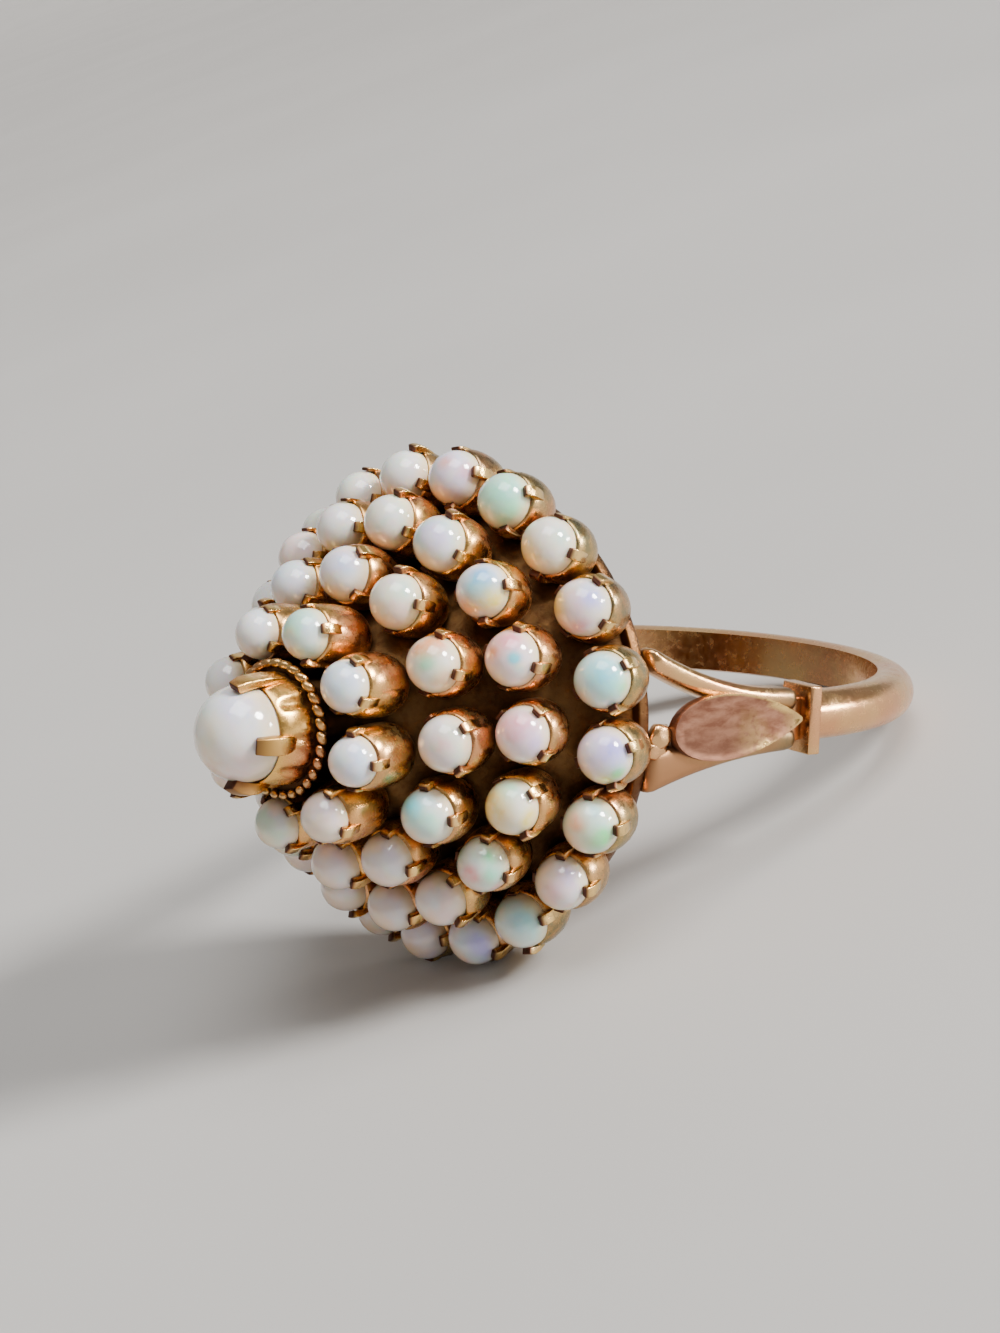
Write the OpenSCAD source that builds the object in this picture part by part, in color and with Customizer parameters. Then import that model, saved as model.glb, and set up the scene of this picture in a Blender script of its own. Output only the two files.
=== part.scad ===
// Tiered opal cluster ring: a tall dome of claw-set opals on a gold hoop with split shoulders.
// Millimetres. The origin is the middle of the finger hole.
// The ring lies on its side, on the lowest collets of the rim and on the back of the hoop.
// Every piece is drawn in the maker's position, with the dome pointing up along Z,
// the finger along Y and the shoulders at each end of X, and is then laid down by at_rest().

/* [Finger hole] */
// Radius of the finger hole
hole_r = 8.5; // [7.5:0.1:9.5]
// Height of the plane of the rim opals above the middle of the finger hole
rim_rise = 11.7; // [11:0.1:13]

/* [Hoop] */
// Width of the hoop along the finger
hoop_w = 1.8; // [1.4:0.1:2.2]
// Thickness of the hoop
hoop_t = 1.4; // [1.1:0.1:1.7]
// Angle from the dome to each collar, round the finger
collar_at = 75.5; // [74:0.5:78]
// Width of a collar along the finger
collar_w = 2.45; // [2.2:0.05:2.8]
// Length of a collar round the hoop
collar_len = 0.5; // [0.4:0.05:0.8]
// How far a collar stands out from the hole
collar_t = 1.65; // [1.5:0.05:1.9]

/* [Shoulders] */
// Reach of the upper arm from the middle of the ring, where it meets the dome
upper_spread = 3.0; // [2.6:0.1:3.2]
// Reach of the lower arm from the middle of the ring, where it meets the dome
lower_spread = 2.25; // [2:0.05:2.8]
// Width of an arm
arm_w = 0.85; // [0.7:0.05:1]
// Thickness of an arm
arm_t = 1.0; // [0.8:0.05:1.2]
// Distance from the dome's axis to the outside of the arms, at the dome
arm_reach = 8.1; // [7.8:0.1:8.2]
// Length of the leaf between the arms
leaf_len = 5.5; // [5:0.1:5.8]
// Greatest width of the leaf
leaf_w = 2.3; // [2:0.1:2.5]
// Thickness of the leaf
leaf_t = 0.35; // [0.3:0.05:0.45]

/* [Opals] */
// Diameter of a small opal
opal_d = 2.0; // [1.9:0.02:2.04]
// Diameter of the opal at the top
top_opal_d = 3.3; // [3.1:0.05:3.4]
// Height of the top opal above the rim opals
top_rise = 9.0; // [8.9:0.05:9.2]

/* [Collets] */
// Outside radius of a small collet
collet_r = 1.12; // [1.1:0.01:1.13]
// Thickness of a collet's wall
collet_wall = 0.24; // [0.2:0.01:0.28]
// Radius of the round bottom of a small collet
collet_foot_r = 0.95; // [0.9:0.01:0.98]
// Depth from the middle of an opal to the middle of the round bottom of its collet
collet_depth = 1.2; // [1.1:0.02:1.25]
// Width of a claw
claw_w = 0.42; // [0.35:0.01:0.5]
// How far a claw stands out from its collet
claw_t = 0.1; // [0.08:0.01:0.12]
// Angle that a claw reaches up over the opal
claw_reach = 36; // [30:1:40]

/* [Base] */
// Thickness of the domed base that carries the collets
base_t = 0.45; // [0.4:0.05:0.5]
// Radius of the twisted wire ring below the top opal
rope_r = 2.35; // [2.3:0.01:2.4]
// Thickness of the twisted wire ring
rope_t = 0.36; // [0.3:0.02:0.38]

/* [Rest] */
// Turn about the dome's axis, on to two collets of the rim
rest_roll = -7.7; // [-10:0.1:10]
// Tilt of the dome above the surface
rest_tilt = 21.5; // [18:0.1:26]

/* [Hidden] */
$fn = 48;

gold = [0.80, 0.56, 0.36];
opal = [0.93, 0.92, 0.88];

// Room between two pieces
gap = 0.03;
// How far the base reaches up past the lowest point of a collet, which is cut to its slope
sink = 0.15;

// A tier of collets.
// Columns: how many, radius, height above the rim opals, outward lean,
// angle of the first, step between those on the front, how many are on the front
UPPER = [8, 3.39, 6.81, 9, 160.5, 42.9, 7];
SECOND = [12, 5.05, 4.31, 14, 120.7, 30.4, 8];
THIRD = [17, 6.73, 2.4, 15, 110.9, 21.7, 11];
RIM = [21, 8.25, 0, 17, 119.8, 17.57, 13];
TIERS = [RIM, THIRD, SECOND, UPPER];

function tier_n(t) = t[0];
function tier_r(t) = t[1];
function tier_h(t) = t[2];
function tier_lean(t) = t[3];

// The collets of the front stand a step apart, and the others share what is left of the circle
function back_step(t) = (360 - t[5] * (t[6] - 1)) / (t[0] - t[6] + 1);
function collet_angle(t, i) = i < t[6] ? t[4] - t[5] * i : t[4] - t[5] * (t[6] - 1) - back_step(t) * (i - t[6] + 1);

opal_r = opal_d / 2;
top_r = top_opal_d / 2;
mouth_r = opal_r + 0.02;
mouth_h = 0.05;
seat_depth = 0.52 * opal_r;
ledge_r = collet_r - collet_wall;
ledge_t = 0.1;
hollow_r = 0.55 * opal_r;
hollow_depth = opal_r + 0.06;
collet_len = collet_depth + collet_foot_r;

// The top opal's collet: a bulged cup on a round plate
top_cup_r = 1.87;
top_mouth_r = 1.75;
top_cup_depth = 1.0;
top_seat_depth = 0.9;
top_cup_wall = 0.45;
top_claw_w = 0.7;
top_plate_t = 0.3;
top_plate_h = top_rise - 1.55;

// Where the base passes the bottom of a tier's collets: distance from the axis, and height
function foot(t) = [tier_r(t), tier_h(t)] - (collet_len - sink) * [sin(tier_lean(t)), cos(tier_lean(t))];
neck_foot = [2.0, 5.3];
neck_top = [1.9, top_plate_h - 0.2];
base_h = foot(RIM)[1] - 0.5;
base_ring_t = 0.45;
base_ring_in = 6.7;
base_ring_out = 8.0;
base_outside = concat([[foot(RIM)[0], base_h + base_ring_t / 2]], [for (t = TIERS) foot(t)],
                      [neck_foot, neck_top]);

hoop_r = hole_r + hoop_t;
hoop_round_r = 1.0;
shoulder_at = collar_at - 2.6;
side_from = 4;
side_deep = 8;
neck_w = 1.6;
neck_t = 1.05;
neck_in = 0.06;
leaf_sink = 0.1;
leaf_fall = 0.75;
arm_root = 0.6;
upper_start = 1.15;
lower_start = 1.1;
arm_foot = [arm_reach - arm_t, base_h - gap];

// Lays a piece down from the maker's position, with the middle of the finger hole at the origin
module at_rest() {
    rotate([0, rest_tilt, 0]) rotate([90, 0, -90]) rotate([0, 0, rest_roll])
        translate([0, 0, rim_rise]) children();
}

// Stands a piece at each place of a tier, leaning outwards
module on_tier(t) {
    for (i = [0:tier_n(t) - 1])
        rotate([0, 0, collet_angle(t, i)]) translate([tier_r(t), 0, tier_h(t)])
            rotate([0, tier_lean(t), 0]) children();
}

// Turns a piece drawn round Z into one round the finger, in the middle of the hole
module round_finger() {
    translate([0, 0, -rim_rise]) rotate([-90, 0, 0]) children();
}

// Half-round section of the hoop, flat towards the finger
module hoop_section() {
    intersection() {
        translate([hole_r, -hoop_w / 2]) square([hoop_t, hoop_w]);
        translate([hoop_r - hoop_round_r + 0.05, 0]) circle(r = hoop_round_r);
    }
}

// The hoop, from one collar round the back to the other
module hoop() {
    round_finger() rotate([0, 0, collar_at - 90]) rotate_extrude(angle = 360 - 2 * collar_at) hoop_section();
}

// A plain square band round the hoop, and the narrow neck between it and the shoulder
module collar() {
    span = collar_len / hoop_r * 180 / PI;
    neck = collar_at - shoulder_at + 1;
    round_finger() rotate([0, 0, collar_at - 90]) {
        rotate([0, 0, -span / 2]) rotate_extrude(angle = span)
            translate([hole_r, -collar_w / 2]) square([collar_t, collar_w]);
        rotate([0, 0, -neck]) rotate_extrude(angle = neck)
            translate([hole_r + neck_in, -neck_w / 2]) square([neck_t, neck_w]);
    }
}

// Outline of a shoulder from the side: it leaves the hoop straight towards the dome
module shoulder_side() {
    inner = [hole_r * sin(shoulder_at), hole_r * cos(shoulder_at) - rim_rise];
    outer = [hoop_r * sin(shoulder_at), hoop_r * cos(shoulder_at) - rim_rise];
    polygon([inner, outer, [arm_reach, arm_foot[1]], arm_foot]);
}

// Outline of a leaf from the side: a thin band let into the outside of the shoulder
module leaf_side() {
    difference() {
        translate([leaf_t - leaf_sink, 0]) shoulder_side();
        translate([-leaf_sink, 0]) shoulder_side();
    }
}

// One arm from the front: a curved strip, start from the middle at the hoop and spread at the dome
function arm_edge(spread, start, s) = start + (spread - start) * pow(s, 2);
module arm_front(spread, start) {
    low = hoop_r * cos(shoulder_at) - rim_rise - arm_root;
    rise = arm_foot[1] - low;
    steps = 8;
    outer = [for (k = [0:steps]) [low + rise * k / steps, arm_edge(spread, start, k / steps)]];
    inner = [for (k = [steps:-1:0]) [low + rise * k / steps, arm_edge(spread, start, k / steps) - arm_w]];
    polygon(concat(outer, inner));
}

// Outline of the leaf from the front: pointed at the hoop, round at the dome
module leaf_front() {
    tip = arm_foot[1] - leaf_fall - leaf_len;
    steps = 14;
    half = [for (k = [0:steps]) leaf_w / 0.81 * pow(k / steps, 0.85) * sqrt(1 - k / steps)];
    upper = [for (k = [0:steps]) [tip + leaf_len * k / steps, half[k]]];
    lower = [for (k = [steps - 1:-1:1]) [tip + leaf_len * k / steps, -half[k]]];
    polygon(concat(upper, lower));
}

// Extrudes an outline drawn with height along X and reach along Y, across the whole shoulder
module from_front() {
    rotate([0, -90, 0]) mirror([0, 0, 1]) translate([0, 0, side_from]) linear_extrude(side_deep) children();
}

// Extrudes an outline drawn with reach along X and height along Y, across the finger
module from_side(width) {
    rotate([90, 0, 0]) linear_extrude(width, center = true) children();
}

// A split shoulder: two arms, and a leaf on their outside
module shoulder() {
    intersection() {
        from_side(8) shoulder_side();
        from_front() union() {
            arm_front(upper_spread, upper_start);
            mirror([0, 1, 0]) arm_front(lower_spread, lower_start);
        }
    }
    intersection() {
        from_side(4) leaf_side();
        from_front() leaf_front();
    }
}

// The hoop with its collars, split shoulders and leaves, soldered into one piece
module shank() {
    color(gold) at_rest() {
        hoop();
        for (side = [0, 1]) mirror([side, 0, 0]) {
            collar();
            shoulder();
        }
    }
}

// Section of a claw that runs up a collet of radius out and bends over an opal of radius r
module claw_section(r, out, low) {
    near = r + gap;
    tip = near * [cos(claw_reach), sin(claw_reach)];
    polygon([
        [near, -0.2], [near, near * tan(claw_reach / 2)], tip, tip * 1.14,
        [out + claw_t, tip[1] * 0.55], [out + claw_t, low + 0.25], [out - 0.15, low]
    ]);
}

// Four claws round an opal
module claws(r, out, low, width) {
    intersection() {
        rotate_extrude() claw_section(r, out, low);
        for (a = [45, 135]) rotate([0, 0, a]) translate([-2 * out, -width / 2, -2 * r])
            cube([4 * out, width, 4 * r]);
    }
}

// Half section of a cup: radius mouth at height up, and a round bottom of radius foot from depth down
module cup_half(mouth, foot, depth, up) {
    intersection() {
        union() {
            translate([0, -depth]) circle(r = foot);
            polygon([[0, up], [mouth, up], [mouth, -0.4 * depth], [foot, -depth], [0, -depth]]);
        }
        translate([0, -2 * foot - depth]) square(4 * foot + depth);
    }
}

// A small collet: a deep cup with a round bottom, a ledge that its opal sits on, and four claws
module collet() {
    rotate_extrude() difference() {
        cup_half(collet_r, collet_foot_r, collet_depth, mouth_h);
        translate([-1, -seat_depth]) square([1 + mouth_r, seat_depth + 1]);
        polygon([[-1, 0], [ledge_r, 0], [ledge_r, -seat_depth - ledge_t],
                 [hollow_r, -hollow_depth], [-1, -hollow_depth]]);
    }
    claws(opal_r, collet_r, -1.0, claw_w);
}

// The collets of a tier, each cut to the slope of the base that it stands on
module collets(t) {
    color(gold) at_rest() difference() {
        on_tier(t) collet();
        base_room();
    }
}

module collets_upper() { collets(UPPER); }
module collets_second() { collets(SECOND); }
module collets_third() { collets(THIRD); }
module collets_rim() { collets(RIM); }

// The collet of the top opal: a bulged cup with claws, on a plate that carries the twisted wire
module top_collet() {
    translate([0, 0, top_rise]) {
        rotate_extrude() difference() {
            cup_half(top_mouth_r, top_cup_r, top_cup_depth, 0);
            translate([0, -top_cup_depth]) circle(r = top_cup_r - top_cup_wall);
            translate([-1, -top_seat_depth]) square([1 + top_r + gap, top_seat_depth + top_cup_r]);
        }
        claws(top_r, top_cup_r, -1.2, top_claw_w);
    }
    translate([0, 0, top_plate_h - top_plate_t]) difference() {
        cylinder(r = rope_r, h = top_plate_t - gap);
        translate([0, 0, -1]) cylinder(r = top_cup_r - top_cup_wall + 0.05, h = 3);
    }
}

// The space that the base fills from outside, with a little room round it
module base_room() {
    rotate_extrude() {
        polygon(concat([[0, base_h]], [for (p = base_outside) p + [gap, gap]], [[0, neck_top[1] + gap]]));
        translate([0, base_h - gap]) square([base_ring_out + gap, base_ring_t + 2 * gap]);
    }
}

// The domed shell under the collets, open towards the finger, with a flat ring at its foot
module dome_shell() {
    inside = [for (k = [len(base_outside) - 1:-1:0]) base_outside[k] - [base_t, 0.25 * base_t]];
    rotate_extrude() polygon(concat(base_outside, inside));
    translate([0, 0, base_h]) rotate_extrude()
        translate([base_ring_in, 0]) square([base_ring_out - base_ring_in, base_ring_t]);
}

// The base and the top collet, soldered into one piece
module base() {
    color(gold) at_rest() {
        dome_shell();
        top_collet();
    }
}

// The ring of twisted wire round the foot of the top collet
module rope_ring() {
    color(gold) at_rest() translate([0, 0, top_plate_h + rope_t / 2])
        rotate_extrude() translate([rope_r, 0]) circle(r = rope_t / 2, $fn = 24);
}

module top_opal() {
    color(opal) at_rest() translate([0, 0, top_rise]) sphere(r = top_r);
}

module opals(t) {
    color(opal) at_rest() on_tier(t) sphere(r = opal_r);
}

module opals_upper() { opals(UPPER); }
module opals_second() { opals(SECOND); }
module opals_third() { opals(THIRD); }
module opals_rim() { opals(RIM); }

shank();
base();
collets_upper();
collets_second();
collets_third();
collets_rim();
rope_ring();
top_opal();
opals_upper();
opals_second();
opals_third();
opals_rim();
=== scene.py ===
"""A tall opal cluster ring, lying on its side: four tiers of small claw-set opals round one large one."""

import math
import random

import bmesh
import bpy
from mathutils import Matrix, Vector


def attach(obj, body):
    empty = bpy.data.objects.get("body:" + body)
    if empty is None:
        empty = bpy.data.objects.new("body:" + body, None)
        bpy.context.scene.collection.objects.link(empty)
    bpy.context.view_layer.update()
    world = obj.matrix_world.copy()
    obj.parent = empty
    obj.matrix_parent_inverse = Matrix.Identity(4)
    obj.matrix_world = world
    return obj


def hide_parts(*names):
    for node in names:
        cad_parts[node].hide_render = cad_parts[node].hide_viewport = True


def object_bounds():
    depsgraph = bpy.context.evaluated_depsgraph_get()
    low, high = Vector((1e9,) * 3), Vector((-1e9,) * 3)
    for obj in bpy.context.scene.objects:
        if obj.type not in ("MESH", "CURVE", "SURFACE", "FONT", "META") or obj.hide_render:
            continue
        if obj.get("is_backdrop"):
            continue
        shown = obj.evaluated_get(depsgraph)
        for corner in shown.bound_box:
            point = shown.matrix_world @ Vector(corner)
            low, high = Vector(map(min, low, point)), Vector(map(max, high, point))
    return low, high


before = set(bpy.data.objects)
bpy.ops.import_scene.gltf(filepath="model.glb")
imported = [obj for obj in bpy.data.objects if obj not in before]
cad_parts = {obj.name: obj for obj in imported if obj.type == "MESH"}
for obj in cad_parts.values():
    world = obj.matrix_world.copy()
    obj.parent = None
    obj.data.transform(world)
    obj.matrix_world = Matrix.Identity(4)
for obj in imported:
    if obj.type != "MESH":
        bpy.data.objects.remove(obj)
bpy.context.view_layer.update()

# Sizes of the ring in millimetres and turns in degrees, as in the CAD model. Every piece is made in the
# maker's position, with the dome up along Z, the finger along Y and the shoulders at each end of X.
HOLE_R = 8.5
RIM_RISE = 11.7
HOOP_W = 1.8
HOOP_T = 1.4
COLLAR_AT = 75.5
COLLAR_W = 2.45
COLLAR_LEN = 0.5
COLLAR_T = 1.65
SHOULDER_AT = COLLAR_AT - 2.6
ARM_W = 0.85
ARM_T = 1.0
ARM_REACH = 8.1
UPPER_SPREAD, UPPER_START = 3.0, 1.15
LOWER_SPREAD, LOWER_START = 2.25, 1.1
LOWER_ROOT_W = 1.6
LEAF_LEN = 5.5
LEAF_W = 2.3
LEAF_GAP = 0.75
OPAL_R = 1.0
TOP_OPAL_R = 1.65
TOP_RISE = 9.0
TOP_AT = TOP_RISE - 0.16
ROPE_R = 2.24
ROPE_H = TOP_RISE - 1.68
ROPE_WIRE_R = 0.165
ROPE_TURNS = 31
ROPE_SLANT = 34
REST_ROLL = -7.7
REST_TILT = 21.5
BASE_H = -2.41
FOOT_H = BASE_H - 0.03
SMALL_CLAW_W = 0.40
TOP_CLAW_W = 0.62

# Tiers: how many, radius, height, lean, first angle, step on the front, how many on the front
TIERS = {
    "upper": (8, 3.39, 6.81, 9, 160.5, 42.9, 7),
    "second": (12, 5.05, 4.31, 14, 120.7, 30.4, 8),
    "third": (17, 6.73, 2.4, 15, 110.9, 21.7, 11),
    "rim": (21, 8.25, 0, 17, 119.8, 17.57, 13),
}

# The camera, seen from the middle of the rim: round from the dome's axis, up the finger, and its own turn
VIEW_ROUND = 46.2
VIEW_UP = 9.5
VIEW_TURN = 1.4
VIEW_FAR = 90.0
VIEW_LENS = 91.0
VIEW_SHIFT = (0.0643, 0.0414)

MM = 0.001


def about(axis, degrees):
    return Matrix.Rotation(math.radians(degrees), 4, axis)


# Lays a piece down from the maker's position, with the middle of the finger hole at the origin
TIP_OVER = about("Y", REST_TILT) @ about("Z", -90) @ about("X", 90) @ about("Z", REST_ROLL)
LAY_DOWN = TIP_OVER @ Matrix.Translation((0, 0, RIM_RISE))


# Ways of working


def put_down():
    """Leaves edit mode and lets go of everything."""
    if bpy.context.object and bpy.context.object.mode != "OBJECT":
        bpy.ops.object.mode_set(mode="OBJECT")
    bpy.ops.object.select_all(action="DESELECT")


def take_up(piece):
    """Opens a piece for editing, all of it selected."""
    put_down()
    piece.select_set(True)
    bpy.context.view_layer.objects.active = piece
    bpy.ops.object.mode_set(mode="EDIT")
    bpy.ops.mesh.select_mode(type="VERT")
    bpy.ops.mesh.select_all(action="SELECT")


def new_piece(name):
    """Names the primitive just added, with its place put into its mesh, and opens it."""
    bpy.ops.object.transform_apply(location=True, rotation=True, scale=True)
    piece = bpy.context.object
    piece.name = name
    take_up(piece)
    return piece


def pick_points(piece, wanted):
    """Selects the points whose place answers yes."""
    bpy.ops.mesh.select_mode(type="VERT")
    bpy.ops.mesh.select_all(action="DESELECT")
    shape = bmesh.from_edit_mesh(piece.data)
    for point in shape.verts:
        point.select = wanted(point.co)
    shape.select_flush(True)
    bmesh.update_edit_mesh(piece.data)


def pick_faces(piece, wanted):
    """Selects the faces whose middle and normal answer yes."""
    bpy.ops.mesh.select_mode(type="FACE")
    bpy.ops.mesh.select_all(action="DESELECT")
    shape = bmesh.from_edit_mesh(piece.data)
    shape.normal_update()
    for face in shape.faces:
        face.select = wanted(face.calc_center_median(), face.normal)
    shape.select_flush(True)
    bmesh.update_edit_mesh(piece.data)


def draw_out(x, y, z):
    bpy.ops.mesh.extrude_region_move(TRANSFORM_OT_translate={"value": (x, y, z)})


def stretch(x, y, z, middle=(0, 0, 0)):
    bpy.ops.transform.resize(value=(x, y, z), center_override=middle)


def swing(degrees, axis, middle=(0, 0, 0)):
    """Turns what is selected; with no window the operator turns the other way."""
    bpy.ops.transform.rotate(value=-math.radians(degrees), orient_axis=axis, center_override=middle)


def close_up(piece, merge=0.0005):
    """Merges doubles, turns the faces outwards and leaves edit mode."""
    bpy.ops.mesh.select_all(action="SELECT")
    bpy.ops.mesh.remove_doubles(threshold=merge)
    bpy.ops.mesh.normals_make_consistent(inside=False)
    put_down()


def soften(piece, width, segments=2, angle=35):
    """Rounds the edges of a piece with a bevel."""
    bevel = piece.modifiers.new("soft edge", "BEVEL")
    bevel.width = width
    bevel.segments = segments
    bevel.limit_method = "ANGLE"
    bevel.angle_limit = math.radians(angle)
    finish_modifiers(piece)


def smooth_down(piece):
    """Rounds a piece all over with a subdivision surface."""
    surface = piece.modifiers.new("smooth", "SUBSURF")
    surface.levels = 1
    surface.render_levels = 1
    finish_modifiers(piece)


def finish_modifiers(piece):
    """Applies the modifiers, so that the mesh itself has their shape."""
    put_down()
    piece.select_set(True)
    bpy.context.view_layer.objects.active = piece
    for modifier in list(piece.modifiers):
        bpy.ops.object.modifier_apply(modifier=modifier.name)


def polish(piece, angle=50):
    """Shades a piece smooth, apart from its sharp edges."""
    put_down()
    piece.select_set(True)
    bpy.context.view_layer.objects.active = piece
    bpy.ops.object.shade_smooth_by_angle(angle=math.radians(angle))


def join_up(name, pieces):
    """Makes one object of several."""
    put_down()
    for piece in pieces:
        piece.select_set(True)
    bpy.context.view_layer.objects.active = pieces[0]
    bpy.ops.object.join()
    joined = bpy.context.object
    joined.name = name
    return joined


def ring_wall(name, profile, sides):
    """A wall turned round Z that follows a profile of (radius, height)."""
    put_down()
    (radius, height), *rest = profile
    bpy.ops.mesh.primitive_circle_add(vertices=sides, radius=radius, location=(0, 0, height))
    piece = new_piece(name)
    for next_radius, next_height in rest:
        draw_out(0, 0, next_height - height)
        ratio = next_radius / radius
        stretch(ratio, ratio, 1, (0, 0, next_height))
        radius, height = next_radius, next_height
    return piece


def bar(name, stations):
    """A four-sided bar drawn through stations of (middle, thickness, width, tilt), across its run."""
    put_down()
    (middle, thick, wide, tilt), *rest = stations
    bpy.ops.mesh.primitive_plane_add(size=1, location=middle)
    piece = new_piece(name)
    stretch(thick, wide, 1, middle)
    swing(tilt, "Y", middle)
    for next_middle, next_thick, next_wide, next_tilt in rest:
        draw_out(*[b - a for a, b in zip(middle, next_middle)])
        swing(-tilt, "Y", next_middle)
        stretch(next_thick / thick, next_wide / wide, 1, next_middle)
        swing(next_tilt, "Y", next_middle)
        middle, thick, wide, tilt = next_middle, next_thick, next_wide, next_tilt
    return piece


def copy_of(master, name, place):
    """A copy with its own mesh, moved to its place on the ring."""
    made = master.copy()
    made.data = master.data.copy()
    made.name = name
    made.data.name = name
    bpy.context.collection.objects.link(made)
    made.data.transform(place)
    return made


def set_down(piece, node, look):
    """Lays a finished piece down with the ring, gives it its material, and hides the CAD part it stands for.
    """
    piece.data.transform(Matrix.Scale(MM, 4) @ LAY_DOWN)
    piece.data.update()
    piece.data.materials.clear()
    piece.data.materials.append(look)
    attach(piece, "root")
    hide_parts(node)


def write_per_point(piece, name, value_at):
    """Writes a number for each point of a mesh, worked out from its place."""
    values = piece.data.attributes.new(name, "FLOAT", "POINT")
    for point, item in zip(piece.data.vertices, values.data):
        item.value = value_at(point.co)


def write_colours(piece, name, colour_at):
    """Writes a colour for each point of a mesh; its fourth number says how strongly it shows."""
    values = piece.data.attributes.new(name, "FLOAT_COLOR", "POINT")
    for point, item in zip(piece.data.vertices, values.data):
        item.color = colour_at(point.co)


# Materials

OLIVE_FILM = (0.22, 0.225, 0.135)
# Bright gold for rubbed wear and for painted glints and highlights
WEAR_AND_GLINT_GOLD = (1.0, 0.68, 0.25)
MILKY_CLOUD = (0.93, 0.94, 0.93)
# Honey painted on the stones towards the girdle, as the reflection of the gold cups
CUP_REFLECTION_HONEY = (0.86, 0.70, 0.44)


def start_look(name):
    """A new material, with its object's own coordinates in millimetres."""
    look = bpy.data.materials.new(name)
    look.use_nodes = True
    tree = look.node_tree
    shader = tree.nodes["Principled BSDF"]
    where = tree.nodes.new("ShaderNodeTexCoord")
    in_mm = tree.nodes.new("ShaderNodeMapping")
    in_mm.inputs["Scale"].default_value = (1 / MM, 1 / MM, 1 / MM)
    tree.links.new(where.outputs["Object"], in_mm.inputs["Vector"])
    return look, tree, shader, in_mm.outputs["Vector"]


def noise(tree, place, scale, detail=3.0, rough=0.5, twist=0.0):
    node = tree.nodes.new("ShaderNodeTexNoise")
    node.inputs["Scale"].default_value = scale
    node.inputs["Detail"].default_value = detail
    node.inputs["Roughness"].default_value = rough
    node.inputs["Distortion"].default_value = twist
    tree.links.new(place, node.inputs["Vector"])
    return node.outputs["Fac"]


def ramp(tree, value, stops, smooth=False):
    """Turns a value into colours between stops of (place, colour)."""
    node = tree.nodes.new("ShaderNodeValToRGB")
    band = node.color_ramp
    band.interpolation = "EASE" if smooth else "LINEAR"
    while len(band.elements) < len(stops):
        band.elements.new(0.5)
    for element, (at, colour) in zip(band.elements, stops):
        element.position = at
        element.color = (*colour, 1)
    tree.links.new(value, node.inputs["Fac"])
    return node.outputs["Color"]


def grey(level):
    return (level, level, level)


def blend(tree, amount, below, above, way="MIX"):
    """Lays one colour over another; each of the three may be a node's output or a plain value."""
    node = tree.nodes.new("ShaderNodeMix")
    node.data_type = "RGBA"
    node.blend_type = way
    for socket, value in ((node.inputs[0], amount), (node.inputs[6], below), (node.inputs[7], above)):
        if isinstance(value, (int, float)):
            socket.default_value = value
        elif isinstance(value, tuple):
            socket.default_value = (*value, 1)
        else:
            tree.links.new(value, socket)
    return node.outputs[2]


def raise_bumps(tree, shader, height, strength, depth):
    bump = tree.nodes.new("ShaderNodeBump")
    bump.inputs["Strength"].default_value = strength
    bump.inputs["Distance"].default_value = depth * MM
    tree.links.new(height, bump.inputs["Height"])
    tree.links.new(bump.outputs["Normal"], shader.inputs["Normal"])


def crevice_shade(tree, reach, stops):
    """Painted shade: dark where other metal stands close, light where the surface is open."""
    node = tree.nodes.new("ShaderNodeAmbientOcclusion")
    node.samples = 8
    node.inputs["Distance"].default_value = reach * MM
    return ramp(tree, node.outputs["AO"], stops)


def painted(tree, name):
    """What is painted on a piece under this name; nothing where it isn't painted."""
    node = tree.nodes.new("ShaderNodeAttribute")
    node.attribute_name = name
    return node


def streaks(tree):
    """Fine streaks along a leaf, from its own painted directions."""
    grain = tree.nodes.new("ShaderNodeCombineXYZ")
    for socket, name, scale in (("X", "across", 2.0), ("Y", "along", 0.8)):
        size = tree.nodes.new("ShaderNodeMath")
        size.operation = "MULTIPLY"
        size.inputs[1].default_value = scale
        tree.links.new(painted(tree, name).outputs["Fac"], size.inputs[0])
        tree.links.new(size.outputs[0], grain.inputs[socket])
    return noise(tree, grain.outputs[0], 1.3, 4, 0.6, 0.3)


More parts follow.
